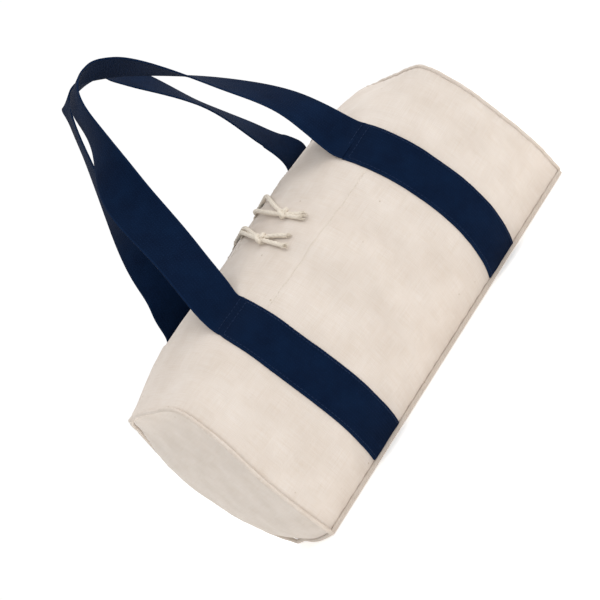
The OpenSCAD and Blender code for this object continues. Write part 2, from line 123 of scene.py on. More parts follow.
def evenPoints(path, count):
    # the same line with so many points evenly apart
    along = lengthsAlong(path)
    want = np.linspace(0, along[-1], count)
    return np.stack([np.interp(want, along, path[:, i]) for i in range(path.shape[1])], axis=1)


def evenPath(path, step):
    return evenPoints(path, max(int(round(lengthsAlong(path)[-1] / step)), 2) + 1)


def softNoise(x, y, size, seed, count=10):
    # smooth seeded ripples between -1 and 1, about size mm across
    rng = np.random.default_rng(seed)
    out = np.zeros(np.broadcast(x, y).shape)
    for k in range(count):
        way = rng.uniform(0, 2 * math.pi)
        rate = 2 * math.pi / size * rng.uniform(0.6, 1.5)
        out = out + np.sin(rate * (x * math.cos(way) + y * math.sin(way)) + rng.uniform(0, 2 * math.pi))
    return out / math.sqrt(count) / 1.4


# shapes are points in mm, faces, and map places in m

def slab(low, high, uv, flip=False):
    # closed piece between two grids of points [rows, columns, 3]
    n = low.shape[0] * low.shape[1]
    index = np.arange(n).reshape(low.shape[:2])
    quads = np.stack([index[:-1, :-1], index[:-1, 1:], index[1:, 1:], index[1:, :-1]], axis=-1).reshape(-1, 4)
    sheets = np.stack([quads[:, ::-1], quads + n], axis=1).reshape(-1, 4)
    rim = np.concatenate([index[0], index[1:, -1], index[-1, -2::-1], index[-2:0:-1, 0]])
    after = np.roll(rim, -1)
    faces = np.concatenate([sheets, np.stack([rim, after, after + n, rim + n], axis=1)])
    points = np.concatenate([low.reshape(-1, 3), high.reshape(-1, 3)])
    uvs = np.concatenate([uv.reshape(-1, 2), uv.reshape(-1, 2)])
    return points, (faces[:, ::-1] if flip else faces).tolist(), uvs


def ringFaces(count, sides, closed=False):
    # skin of a row of rings, with its two ends
    faces = []
    for j in range(count if closed else count - 1):
        up = (j + 1) % count
        for i in range(sides):
            k = (i + 1) % sides
            faces.append([j * sides + i, j * sides + k, up * sides + k, up * sides + i])
    if not closed:
        faces.append(list(range(sides))[::-1])
        faces.append([(count - 1) * sides + i for i in range(sides)])
    return faces


def crossWays(path, closed):
    # two directions across a path that turn as little as they can
    if closed:
        heading = unitRows(np.roll(path, -1, axis=0) - np.roll(path, 1, axis=0))
    else:
        heading = unitRows(np.gradient(path, axis=0))
    side = np.cross((0, 0, 1), heading[0])
    if np.linalg.norm(side) < 1e-3:
        side = np.cross((1, 0, 0), heading[0])
    sides = [side / np.linalg.norm(side)]
    for t in heading[1:]:
        s = sides[-1] - t * np.dot(sides[-1], t)
        sides.append(s / np.linalg.norm(s))
    sides = np.array(sides)
    return sides, np.cross(heading, sides)


def tube(path, radius, sides=12, closed=False, lobes=0, pitch=0.0, depth=0.0):
    # round or stranded tube along a path, strands turn once each pitch
    u, v = crossWays(path, closed)
    count = len(path)
    radius = np.broadcast_to(np.asarray(radius, float), (count,))
    along = lengthsAlong(path)
    angles = np.arange(sides) * 2 * math.pi / sides
    twist = 2 * math.pi * along / pitch if pitch else np.zeros(count)
    shape = np.ones((count, sides))
    if lobes:
        # each strand is a round lobe, with a groove between it and the next
        shape = 1 - depth * (1 - np.abs(np.cos(lobes / 2 * (angles[None, :] - twist[:, None]))) ** 0.8)
    r = radius[:, None] * shape
    points = (path[:, None, :] + u[:, None, :] * (r * np.cos(angles))[:, :, None]
              + v[:, None, :] * (r * np.sin(angles))[:, :, None])
    uvs = np.stack(np.broadcast_arrays(angles[None, :] * radius[:, None], along[:, None]), axis=-1)
    return points.reshape(-1, 3), ringFaces(count, sides, closed), uvs.reshape(-1, 2) * mm


def joinParts(parts):
    points, faces, uvs, start = [], [], [], 0
    for p, f, u in parts:
        points += list(p)
        uvs += list(u)
        faces += [[i + start for i in face] for face in f]
        start += len(p)
    return points, faces, uvs


def addPiece(name, shape, kind, body="bag", node=None):
    # unless told otherwise, a piece stands for the solid of its own name, as frontPanel for front_panel
    # an empty node is for a piece that stands for none, and no body for one that bends between two
    points, faces, uvs = shape
    mesh = bpy.data.meshes.new(name)
    mesh.from_pydata([tuple(p) for p in np.array(points) * mm], [], [tuple(f) for f in faces])
    layer = mesh.uv_layers.new(name="clothMap")
    for loop in mesh.loops:
        layer.data[loop.index].uv = uvs[loop.vertex_index]
    mesh.polygons.foreach_set("use_smooth", [True] * len(mesh.polygons))
    mesh.validate()
    mesh.update()
    obj = bpy.data.objects.new(name, mesh)
    bpy.context.scene.collection.objects.link(obj)
    material, slotName, sharpDeg = kinds[kind]
    mesh.materials.append(material)
    if sharpDeg:
        mesh.set_sharp_from_angle(angle=math.radians(sharpDeg))
    if node is None:
        node = "".join("_" + c.lower() if c.isupper() else c for c in name)
    if node:
        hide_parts(node)
    if body:
        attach(obj, body)
    return obj


# camera, at the photo's viewing angle, turned as the photo is turned

cameraPlace = {
    "azimuth": -23.0,       # from the front, toward the left end
    "elevation": 2.57,
    "distance": 1700,       # mm
    "lookAt": (-14.6, 0, 142.65),
    "lens": 102.33,         # on a 36 mm sensor
    "turn": -54.43,         # the bag lies turned in the photo's frame
}


def makeCamera(s):
    a, e = math.radians(s["azimuth"]), math.radians(s["elevation"])
    back = Vector((math.sin(a) * math.cos(e), -math.cos(a) * math.cos(e), math.sin(e)))
    data = bpy.data.cameras.new("camera")
    camera = bpy.data.objects.new("camera", data)
    bpy.context.scene.collection.objects.link(camera)
    data.lens = s["lens"]
    data.sensor_width = 36
    data.clip_end = 50
    camera.location = (Vector(s["lookAt"]) + back * s["distance"]) * mm
    upright = (-back).to_track_quat("-Z", "Y")
    camera.rotation_mode = "QUATERNION"
    camera.rotation_quaternion = upright @ Euler((0, 0, math.radians(s["turn"]))).to_quaternion()
    bpy.context.scene.camera = camera


makeCamera(cameraPlace)
print("camera made")


# materials, all on the pieces' own map, which is in metres along the threads

def newMaterial(name):
    material = bpy.data.materials.new(name)
    tree = emptyTree(material)
    return material, tree, addNode(tree, "UVMap", {"uv_map": "clothMap"})


def tonedNoise(tree, place, settings, tones):
    # noise, and the colour that runs with it from one tone to the other
    noise = addNode(tree, "TexNoise", settings, {"Vector": place}, "Fac")
    colour = addNode(tree, "ValToRGB", {}, {"Fac": noise})
    for element, (position, tone) in zip(colour.node.color_ramp.elements, tones):
        element.position, element.color = position, linear(tone)
    return noise, colour


def endMaterial(tree, colour, height, bump, shader):
    # fine relief, a dry surface with a little fuzz, and the output
    normal = addNode(tree, "Bump", bump, {"Height": height})
    surface = addNode(tree, "BsdfPrincipled", shader, {"Base Color": colour, "Normal": normal})
    addNode(tree, "OutputMaterial", {}, {"Surface": surface})


def canvasMaterial(name, look):
    # unbleached cotton duck, plain woven: dry and matt, with slubs in both directions and small seed flecks, and a
    # little painted shade in the weave's hollows
    material, tree, uv = newMaterial(name)
    # the real threads are about 0.7 mm apart, drawn coarser so that they show
    warp, weft = [addNode(tree, "TexWave", {"bands_direction": way, "Scale": waveScale(look["thread"]),
                          "Distortion": 0.6, "Detail": 1.0, "Detail Scale": 2.0}, {"Vector": uv}, "Fac")
                  for way in ("X", "Y")]
    weave = addNode(tree, "Math", {"operation": "MULTIPLY"}, {0: warp, 1: weft})
    # slubs: thick places in single threads, long one way and thin the other
    slubs = []
    for across, along in look["slubs"]:
        place = addNode(tree, "Mapping", {"Scale": (1 / across, 1 / along, 1)}, {"Vector": uv})
        slubs.append(addNode(tree, "TexNoise", {"Scale": noiseScale(1)}, {"Vector": place}, "Fac"))
    both = addNode(tree, "Math", {"operation": "ADD"}, dict(enumerate(slubs)), "Value")
    slubMask = addNode(tree, "MapRange", {"From Min": 0.75, "From Max": 1.3}, {"Value": both})
    colour = tonedNoise(tree, uv, {"Scale": noiseScale(look["blotch"]), "Detail": 4.0, "Roughness": 0.55},
                        ((0.3, look["shade"]), (0.7, look["base"])))[1]
    colour = addNode(tree, "MixRGB", {"blend_type": "MULTIPLY", "Color2": linear(look["threadTint"])},
                     {"Fac": slubMask, "Color1": colour})
    # bits of cotton seed, well apart
    seeds = addNode(tree, "TexVoronoi", {"Scale": noiseScale(look["fleckSpacing"])}, {"Vector": uv}, "Distance")
    fleck = addNode(tree, "MapRange", {"From Min": 0.05, "From Max": 0.025, "To Max": 0.55}, {"Value": seeds})
    colour = addNode(tree, "MixRGB", {"Color2": linear(look["fleck"])}, {"Fac": fleck, "Color1": colour})
    # painted shade: the colour is darkened a little where the weave dips between threads, down to the look's hollow
    # share
    weaveHollowShade = addNode(tree, "MapRange", {"From Max": 0.6, "To Min": look["hollow"]}, {"Value": weave})
    colour = addNode(tree, "MixRGB", {"blend_type": "MULTIPLY", "Fac": 1.0}, {"Color1": colour, "Color2": weaveHollowShade})
    height = addNode(tree, "Math", {"operation": "MULTIPLY_ADD", 1: 0.5}, {0: slubMask, 2: weave})
    endMaterial(tree, colour, height, {"Strength": look["bump"], "Distance": 0.0004},
                {"Roughness": 0.92, "Specular IOR Level": 0.2, "Sheen Weight": 0.12, "Sheen Roughness": 0.6})
    return material


def webbingMaterial(name, look):
    # navy cotton webbing, woven in close ribs across its width: matt, with paler bound edges and dusty high threads
    material, tree, uv = newMaterial(name)
    # ribs are about 1.2 mm apart on the real strap, drawn at twice that
    ribs = addNode(tree, "TexWave", {"bands_direction": "Y", "Scale": waveScale(look["rib"]), "Distortion": 0.8,
                   "Detail": 1.0, "Detail Scale": 3.0}, {"Vector": uv}, "Fac")
    twill = addNode(tree, "TexWave", {"bands_direction": "X", "Scale": waveScale(look["twill"]), "Distortion": 0.5},
                    {"Vector": uv}, "Fac")
    weave = addNode(tree, "Math", {"operation": "MULTIPLY"}, {0: ribs, 1: twill})
    across = addNode(tree, "SeparateXYZ", {}, {"Vector": uv}, "X")
    edge = addNode(tree, "Math", {"operation": "ABSOLUTE"}, {0: across})
    edgeFrom, edgeTo = look["edgeAt"]
    edgeMask = addNode(tree, "MapRange", {"From Min": edgeFrom * mm, "From Max": edgeTo * mm, "To Max": look["edge"]},
                       {"Value": edge})
    colour = tonedNoise(tree, uv, {"Scale": noiseScale(look["blotch"]), "Detail": 5.0, "Roughness": 0.6},
                        ((0.3, look["deep"]), (0.72, look["base"])))[1]
    dust = addNode(tree, "MapRange", {"From Min": 0.35, "From Max": 0.95, "To Max": look["dust"]}, {"Value": weave})
    for mask in (dust, edgeMask):
        colour = addNode(tree, "MixRGB", {"Color2": linear(look["worn"])}, {"Fac": mask, "Color1": colour})
    endMaterial(tree, colour, weave, {"Strength": 0.35, "Distance": 0.0004},
                {"Roughness": 0.85, "Specular IOR Level": 0.04, "Sheen Weight": 0.01, "Sheen Roughness": 0.5})
    return material


def yarnMaterial(name, look):
    # spun cotton yarn: fuzzy and matt, fine fibres that lie along the strands
    material, tree, uv = newMaterial(name)
    stretched = addNode(tree, "Mapping", {"Scale": (1 / fibre["across"], 1 / fibre["along"], 1),
                                          "Rotation": (0, 0, fibre["lean"])}, {"Vector": uv})
    fibres, colour = tonedNoise(tree, stretched, {"Scale": noiseScale(1), "Detail": 3.0, "Roughness": 0.65},
                                ((0.3, look["shade"]), (0.65, look["base"])))
    endMaterial(tree, colour, fibres, {"Strength": 0.4, "Distance": 0.0003},
                {"Roughness": 0.9, "Specular IOR Level": look["gloss"], "Sheen Weight": 0.1, "Sheen Roughness": 0.5})
    return material


# sizes in mm
# hollow is the share of its colour that the cloth keeps in the weave's hollows, a painted shade
canvasLook = {"base": "#DCD3CB", "shade": "#D2C7BD", "threadTint": "#F8F4EF", "fleck": "#A08A70", "thread": 1.8,
              "slubs": ((0.9, 26), (30, 0.9)), "hollow": 0.975, "blotch": 45, "fleckSpacing": 24, "bump": 0.14}
endLook = dict(canvasLook, base="#DAD1C9", shade="#CEC4BA", blotch=30)
liningLook = dict(canvasLook, base="#D3C9BB", shade="#C8BCAC", blotch=24)
pipingLook = dict(canvasLook, base="#D8CEC5", shade="#CCC1B6", blotch=18, bump=0.3)
webbingLook = {"base": "#081B35", "deep": "#051228", "worn": "#142A4A", "rib": 2.4, "twill": 3.0, "blotch": 38,
               "edge": 0.3, "edgeAt": (21.3, 22.6), "dust": 0.18}
creamLook = {"base": "#DCD2C5", "shade": "#CABFB0", "gloss": 0.2}
navyLook = {"base": "#1A2E50", "shade": "#0D1E3A", "gloss": 0.15}
ropeLook = {"base": "#E6DDD0", "shade": "#CFC3B2", "gloss": 0.15}
fibre = {"across": 0.35, "along": 5, "lean": 0.5}     # size in mm, lean in radians

# for each kind of piece its material, its slot and the angle from which an edge is sharp
kinds = {
    "canvas": (canvasMaterial("wovenCottonDuck", canvasLook), "canvas", 40),
    "end": (canvasMaterial("wovenCottonDuckEnd", endLook), "canvas", 40),
    "lining": (canvasMaterial("wovenCottonLining", liningLook), "lining", 40),
    "piping": (canvasMaterial("pipedCottonDuck", pipingLook), "canvas", 40),
    "webbing": (webbingMaterial("ribbedCottonWebbing", webbingLook), "webbing", 50),
    "creamThread": (yarnMaterial("spunCottonThread", creamLook), "cream_thread", 60),
    "navyThread": (yarnMaterial("dyedCottonThread", navyLook), "navy_thread", 60),
    "rope": (yarnMaterial("twistedCottonRope", ropeLook), "cord", 0),
}
print("materials made")


# free cords first, with their knots and frayed ends

cordParts = {
    "diameter": 4.6,        # mm
    "strands": 3,
    "pitch": 16,            # one strand turns once in this length
    "groove": 0.24,
    "step": 0.7,
    "routes": {             # mm, from the hole to the end
        "left_front": [(0, -17, 222), (0, -17.5, 226), (-2, -21, 228.8), (-6, -33, 228.4), (-11.5, -47, 225.8),
                       (-16, -60, 222), (-20, -72, 216.6), (-22, -81, 210.8), (-23, -88, 205.4), (-24.2, -98, 197),
                       (-24.5, -103, 192.4), (-24.2, -106, 189.6)],
        "left_back": [(0, 17, 222), (0, 16.5, 225.6), (0.5, 12, 227.8), (1.5, 4, 228.3), (3, -8, 228.9),
                      (2, -24, 229.3), (-4, -42, 227.2), (-11.5, -59, 222.4), (-18, -73, 216.2), (-20.5, -82, 210.6),
                      (-17, -90, 204.2), (-14.5, -97, 198.2), (-13, -104, 191.8)],
        "right_front": [(26, -17, 222), (26, -17.5, 226), (24.6, -22, 229.6), (21.5, -33, 229.4), (17.5, -46, 227),
                        (13.5, -59, 223), (11, -71, 217.8), (10, -80, 212), (10, -89, 205), (9.6, -96, 198.8),
                        (9.8, -101, 194.7), (10.2, -105, 191)],
        "right_back": [(42, 17, 222), (42, 16.5, 225.6), (42.6, 12, 228.2), (44.2, 4, 228.9), (46, -8, 229.5),
                       (44, -24, 230), (38, -40, 228.4), (29, -56, 224.2), (20.5, -70, 218.2), (14, -82, 210.8),
                       (11.8, -90, 204.4), (13, -97, 198), (13.8, -101, 194.6), (14.4, -104, 191.9)],
    },
    # each route keeps its place on the bag for so many mm, and moves with its knot from this share on
    "stay": {"front": 22, "back": 52}, "moves": {"front": 0.64, "back": 0.72},
    # middle of each knot, and the way that the cord goes through it
    "knots": {"left": ((-21.5, -82, 210.6), (-2, -7, -4.5)), "right": ((11.2, -87.5, 206.4), (0, -7, -5))},
    "knotTube": 5.0,        # mm
    "knotSpread": 1.52, "knotDeep": 2.4,
    # how long, how thick at root and tip, how bent and how far apart the loose yarns are
    "frayYarns": 22, "fraySeed": 20, "frayLong": (3.5, 6.5), "frayThick": (0.62, 0.28), "frayBend": 0.9,
    "fraySpread": 0.55, "frayRoot": 2.5,
}


def makeFray(path, seed, s):
    # loose yarns at a cut end, each a thin bent tuft
    rng = np.random.default_rng(seed)
    end, way = path[-1], unitRows(path[-1] - path[-6])
    side = unitRows(np.cross(way, (0.3, 0.2, 1.0)))
    other = np.cross(way, side)
    parts = []
    for k in range(s["frayYarns"]):
        angle = rng.uniform(0, 2 * math.pi)
        out = s["diameter"] / 2 * math.sqrt(rng.uniform(0.02, 0.8))
        spread = side * math.cos(angle) + other * math.sin(angle)
        start = end - way * s["frayRoot"] + spread * out
        reach = rng.uniform(*s["frayLong"])
        bend = rng.normal(0, s["frayBend"], 3)
        line = np.array([start + way * reach * f + spread * out * s["fraySpread"] * f + bend * f * f
                         for f in np.linspace(0, 1, 7)])
        parts.append(tube(line, np.linspace(*s["frayThick"], 7), sides=6))
    return joinParts(parts)


def makeKnot(middle, along, s):
    # overhand knot drawn tight: the cord goes round three times through itself
    way = unitRows(np.array(along, float))
    side = unitRows(np.cross(way, (1, 0, 0.2)))
    other = np.cross(way, side)
    t = np.linspace(0, 2 * math.pi, 97)[:-1]
    k = s["knotSpread"]
    flat = np.stack([(np.sin(t) + 2 * np.sin(2 * t)) * k, (np.cos(t) - 2 * np.cos(2 * t)) * k,
                     -np.sin(3 * t) * s["knotDeep"]], axis=1)
    line = np.array(middle) + flat[:, :1] * side + flat[:, 1:2] * other + flat[:, 2:3] * way
    return tube(line, s["knotTube"] / 2, sides=18, closed=True, lobes=s["strands"], pitch=lengthsAlong(line)[-1] / 5,
                depth=s["groove"])


def makeCords(s):
    knots = {pull: addPiece(pull + "CordKnot", makeKnot(middle, along, s), "rope", pull + "_pull", pull + "_knot")
             for pull, (middle, along) in s["knots"].items()}
    for number, (name, route) in enumerate(s["routes"].items()):
        pull, side = name.split("_")
        label = pull + side.capitalize()
        path = evenPath(curveThrough(route, 8), s["step"])
        shape = tube(path, s["diameter"] / 2, sides=24, lobes=s["strands"], pitch=s["pitch"], depth=s["groove"])
        cord = addPiece(label + "Cord", shape, "rope", None)
        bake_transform(cord)
        fray = addPiece(label + "CordFray", makeFray(path, s["fraySeed"] + number, s), "rope", pull + "_pull", "")


makeCords(cordParts)
print("cords made")


# body, one function for its skin, so that everything sewn to it follows its sag

sideNames = {-1: "front", 1: "back"}
endNames = {-1: "left", 1: "right"}
halfLength, faceLength = 228, 305           # mm, along the bag and up each face

body = {
    "halfDepth": 125,                       # mm
    "baseHalf": (80, 76),                   # half width of the base, left and right end
    "widest": (150, 114),                   # height at which it is deepest, the left half stands taller
    "upper": (1.9, 2.4), "lower": 2.4,      # roundness of the section
    # ridge height at shares of the half length, it stands a little higher where the cords gather it
    "ridge": ((-1, 211.5), (-0.943, 213), (-0.886, 215.2), (-0.83, 217.6), (-0.77, 220.4), (-0.71, 222.6),
              (-0.65, 224.2), (-0.6, 225.2), (-0.5, 225.6), (-0.3, 225.3), (-0.12, 224.9), (-0.03, 226.3),
              (0.15, 227), (0.38, 227), (0.6, 225.6), (0.75, 224), (0.842, 221.8), (0.895, 219.3), (0.947, 216.6),
              (1, 212)),
    # each end's own section, distance out and height from the base seam to the ridge
    "endSections": (
        ((80, 4.6), (91, 18), (101, 35), (109, 56), (115.5, 76), (120.5, 99), (123.5, 121), (125, 144), (124, 165),
         (120, 177), (111, 185.5), (95, 191.5), (79, 195), (66, 198.5), (53, 201.8), (38, 205.3), (22, 208.2),
         (8, 210)),
        ((76, 4.6), (88, 22), (100, 40), (110, 60), (117, 80), (121.5, 100), (124, 122), (124.3, 142), (123, 155),
         (119.3, 168.5), (111, 178.8), (98, 184.6), (83, 188.4), (66, 192.2), (49, 196.4), (32, 201.4), (18, 206),
         (8, 209.5))),
    "endsFrom": 0.5,                        # share of the half length from which the section turns into the end's
    # how far out each end seam lies at each height: left front, left back, right
    "leftFront": ((4, 217), (22, 221.2), (42, 224.2), (72, 226), (97, 225.4), (121, 222.8), (150, 220.6), (180, 219.2),
                  (212, 218.6)),
    "leftBack": ((4, 193.5), (20, 196), (48, 198), (80, 198.5), (110, 197.5), (135, 194.5), (160, 190.5), (177, 188),
                 (188, 189.5), (198, 197.5), (206, 205), (212, 209.5)),
    "rightSeam": ((4, 236), (29, 231.2), (51, 226.3), (72, 222.6), (92, 220), (112, 218.9), (132, 218), (151, 216.5),
                  (171, 216.4), (181, 218), (190, 221), (199, 222.8), (212, 223)),
    "seamPower": 4.5,                       # how late the cloth turns out to the end seams
    "ditch": {-1: 1.4, 1: 0.4},             # how far the cloth dips beside the piping at each end
    "welt": 4.6, "mouthHalf": 8, "mouthHalfLength": 139, "canvas": 1.2,
    "bandX": {-1: -116, 1: 115},
    # the middle of each band at shares up the face, which wanders as the cloth sags
    "bandLine": {-1: ((0, -114.5), (0.15, -115.6), (0.3, -117.2), (0.47, -118), (0.57, -116), (0.63, -113.6),
                      (0.69, -110.4), (0.8, -109), (1, -109)),
                 1: ((0, 112), (0.2, 113.6), (0.35, 114), (0.5, 112.6), (0.6, 112), (0.7, 112.6), (0.8, 114),
                     (1, 115))},
    # heights of the facing stitches and the handle seams, reach of the tunnels and of the cord holes
    "facing": 168, "seam": 197, "hemY": 26, "holeY": 17,
}

# how the cloth sags, heights, sizes and places in mm, places up the face as shares
ripples = {
    "waves": ((1.5, 130), (0.55, 48), (0.16, 17)), "faceHeight": 300, "seed": {-1: 3, 1: 11},
    # a soft upright fold below the middle of the front, with a hollow on each side of it: height, place, width
    "fold": ((2.2, 0, 15), (-1.9, -32, 20), (-1.7, 36, 22)), "foldX": -8, "foldSlant": 16,
    "foldMiddle": 0.42, "foldTall": 0.24, "foldTop": 0.62,
    # hollows beside the feet of the handles, where they pull the cloth up
    "hollow": 1.6, "hollowX": 33, "hollowWide": 13, "hollowUp": (0.83, 0.075),
    # small gathers round the cord holes
    "gather": 1.0, "gatherX": {-1: (0, 28), 1: (0, 42)}, "gatherWide": 24, "gatherUp": (0.92, 0.07),
    # short puckers beside the end seams and the base seam: height, how far in as a share, waves
    "endPucker": (0.35, 0.035, 0.42), "basePucker": (0.25, 0.03, 0.38),
    # how soon the sag fades toward the end seams, the base seam and the mouth
    "fade": (0.12, 0.12, 0.06), "ditchWide": 0.011,
}


def hump(x, middle, width):
    return np.exp(-((x - middle) / width) ** 2)


def sectionCurve(s, count):
    # distance out and height from the welt to the mouth, at share s of the half length, and the cloth's length
    b = body
    t = (s + 1) / 2
    base, up = between(b["baseHalf"], t), between(b["upper"], t)
    mid = between(b["widest"], smoothStep(t, 0, 1))
    top = float(readCurve(s, b["ridge"], 6))
    a, n = b["halfDepth"], b["lower"]
    reach = (mid - b["welt"]) / (1 - (base / a) ** n) ** (1 / n)
    low = math.asin(min(1, (mid - b["welt"]) / reach) ** (n / 2))
    high = math.acos((b["mouthHalf"] / a) ** (up / 2))
    angle = np.linspace(-low, high, 300)
    power = np.where(angle < 0, 2 / n, 2 / up)
    section = np.stack([a * np.abs(np.cos(angle)) ** power,
                        mid + np.where(angle < 0, -reach, top - mid) * np.abs(np.sin(angle)) ** power], axis=1)
    own = curveThrough(b["endSections"][0 if s < 0 else 1], 10)
    mix = smoothStep(abs(s), b["endsFrom"], 1)
    y, z = (evenPoints(section, count) * (1 - mix) + evenPoints(own, count) * mix).T
    z = z + (top - z[-1]) * smoothStep(np.linspace(0, 1, count), 0.55, 1)
    return y, z, lengthsAlong(section)[-1] * (1 - mix) + lengthsAlong(own)[-1] * mix


shareCount, arcCount = 161, 121
shareGrid = np.linspace(-1, 1, shareCount)
arcGrid = np.linspace(0, 1, arcCount)


def skinTable(side):
    # the smooth skin on a grid, evenly spaced up the face, and its length at each share
    table = np.zeros((arcCount, shareCount, 3))
    lengths = np.zeros(shareCount)
    for i, s in enumerate(shareGrid):
        y, z, lengths[i] = sectionCurve(s, arcCount)
        seam = readCurve(z, body["rightSeam" if s > 0 else "leftFront" if side < 0 else "leftBack"])
        x = halfLength * s + np.sign(s) * (seam - halfLength) * abs(s) ** body["seamPower"]
        table[:, i] = np.stack([x, side * y, z], axis=1)
    return table, lengths


skins = {side: skinTable(side) for side in (-1, 1)}


def gridLookup(table, s, v):
    # smooth value of a grid at share s along and share v up
    i = np.clip((s + 1) / 2 * (shareCount - 1), 0, shareCount - 1.000001)
    j = np.clip(v * (arcCount - 1), 0, arcCount - 1.000001)
    i0, j0 = i.astype(int), j.astype(int)
    f, g = (i - i0)[..., None], (j - j0)[..., None]
    return ((table[j0, i0] * (1 - f) + table[j0, i0 + 1] * f) * (1 - g)
            + (table[j0 + 1, i0] * (1 - f) + table[j0 + 1, i0 + 1] * f) * g)


def sag(side, s, v):
    # how far the cloth stands off its smooth shape, in mm
    r = ripples
    x, up, seed = s * halfLength, v * r["faceHeight"], r["seed"][side]
    fromEnd = 1 - np.abs(s)
    endFade, baseFade, mouthFade = r["fade"]
    inner = smoothStep(fromEnd, 0, endFade) * smoothStep(v, 0, baseFade) * smoothStep(1 - v, 0, mouthFade)
    out = sum(high * softNoise(x, up, size, seed + k) for k, (high, size) in enumerate(r["waves"]))
    if side < 0:
        centre = r["foldX"] - r["foldSlant"] * (r["foldTop"] - v)
        out = out + hump(v, r["foldMiddle"], r["foldTall"]) * sum(high * hump(x, centre + place, wide)
                                                                  for high, place, wide in r["fold"])
    for place in body["bandX"].values():
        for edge in (-1, 1):
            out = out - r["hollow"] * hump(x, place + edge * r["hollowX"], r["hollowWide"]) * hump(v, *r["hollowUp"])
    for place in r["gatherX"][side]:
        out = out + (r["gather"] * hump(x, place, r["gatherWide"]) * hump(v, *r["gatherUp"])
                     * np.sin((x - place) * 0.5 + 1))
    high, inward, rate = r["endPucker"]
    out = out * inner + (high * hump(fromEnd, 0, inward) * smoothStep(v, 0, 0.05)
                         * np.sin(up * rate + 2 * softNoise(up, up * 0, 40, seed + 4)))
    high, inward, rate = r["basePucker"]
    out = out + high * hump(v, 0, inward) * np.sin(x * rate + 2 * softNoise(x, x * 0, 60, seed + 5))
    ditch = np.where(s < 0, body["ditch"][-1], body["ditch"][1]) * smoothStep(v, 0, 0.03)
    return out - ditch * hump(fromEnd, 0, r["ditchWide"])


def skinPoint(side, s, v, lift=0):
    # a point on the cloth, raised by lift, and the cloth's own outward direction
    s, v, lift = np.broadcast_arrays(np.asarray(s, float), np.asarray(v, float), np.asarray(lift, float))
    table = skins[side][0]
    d = 0.012
    across = gridLookup(table, np.clip(s + d, -1, 1), v) - gridLookup(table, np.clip(s - d, -1, 1), v)
    upward = gridLookup(table, s, np.clip(v + d, 0, 1)) - gridLookup(table, s, np.clip(v - d, 0, 1))
    normal = unitRows(np.cross(across, upward)) * (-side)
    return gridLookup(table, s, v) + normal * (sag(side, s, v) + lift)[..., None], normal


def arcAt(side, s, height):
    # share up the face at a height, above the widest place
    column = gridLookup(skins[side][0], np.full(arcCount, s), arcGrid)
    return float(np.interp(height, column[:, 2], arcGrid))


def arcAtReach(side, s, reach):
    # share up the face where it comes this close to the ridge's middle
    column = gridLookup(skins[side][0], np.full(arcCount, s), arcGrid)
    start = arcCount // 2
    return float(np.interp(-reach, -np.abs(column[start:, 1]), arcGrid[start:]))


def holeArc(side, place):
    return arcAtReach(side, place / halfLength, body["holeY"])


def patch(side, s, v, lowLift, highLift, across=None):
    # closed piece of cloth that lies along the skin, its map keeps the weave's size
    sGrid, vGrid = np.broadcast_arrays(s, v)
    uv = np.stack([sGrid * halfLength * mm, vGrid * np.interp(sGrid, shareGrid, skins[side][1]) * mm], axis=-1)
    if across is not None:
        uv[..., 0] = across * mm
    return slab(skinPoint(side, sGrid, vGrid, lowLift)[0], skinPoint(side, sGrid, vGrid, highLift)[0], uv, side > 0)


# cord holes, places in mm along the face, left and right pull
holes = {"front": (0, 26), "back": (0, 42), "diameter": 7.4, "rim": 1.9, "yarns": 34}


def cutHoles(obj, side):
    # the cords leave their tunnels through these
    for place in holes[sideNames[side]]:
        middle, normal = skinPoint(side, place / halfLength, holeArc(side, place))
        bpy.ops.mesh.primitive_cylinder_add(vertices=28, radius=holes["diameter"] / 2 * mm, depth=0.012,
                                            location=tuple(middle * mm))
        cutter = bpy.context.object
        cutter.rotation_mode = "QUATERNION"
        cutter.rotation_quaternion = Vector(normal).to_track_quat("Z", "Y")
        cut = obj.modifiers.new("hole", "BOOLEAN")
        cut.operation, cut.object, cut.solver = "DIFFERENCE", cutter, "EXACT"
        dg = bpy.context.evaluated_depsgraph_get()
        mesh = bpy.data.meshes.new_from_object(obj.evaluated_get(dg))
        obj.modifiers.remove(cut)
        obj.data = mesh
        bpy.data.objects.remove(cutter)


def makePanels():
    # more columns beside the end seams, for the dip there
    nearEnds = 1 - np.array([0.0037, 0.0074, 0.0148])
    shares = np.sort(np.concatenate([np.linspace(-1, 1, 181), nearEnds, -nearEnds]))
    arcs = np.concatenate([np.linspace(0, 0.06, 6)[:-1], np.linspace(0.06, 1, 84)])
    for side, name in sideNames.items():
        cutHoles(addPiece(name + "Panel", patch(side, shares, arcs[:, None], -body["canvas"], 0), "canvas"), side)


makePanels()
print("panels made")


# base, welts, ends and piping

base = {
    "thick": 2.4, "weltThick": 3.0, "weltHeight": 4.6, "weltSides": 16, "pipe": 4.2,
    # the piping stands off the face and off the end by so much, sinks toward the ridge, and is tucked in under the end
    "pipeOut": {-1: (1.5, 1.5), 1: (-0.4, 1.3)}, "sink": 1.4, "tuck": 0.6,
    # slack of the end's cloth, its puckers near the top, and the crown and ripple of the top strip
    "slack": 0.8, "pucker": 2.2, "puckerFrom": (90, 190), "crown": 0.9, "ripple": 0.2,
    # the binding's two edges as shares of the half length, clear of the end's own hollows, and its depth
    "binding": (0.032, 0.039), "bindingDeep": 7,
}


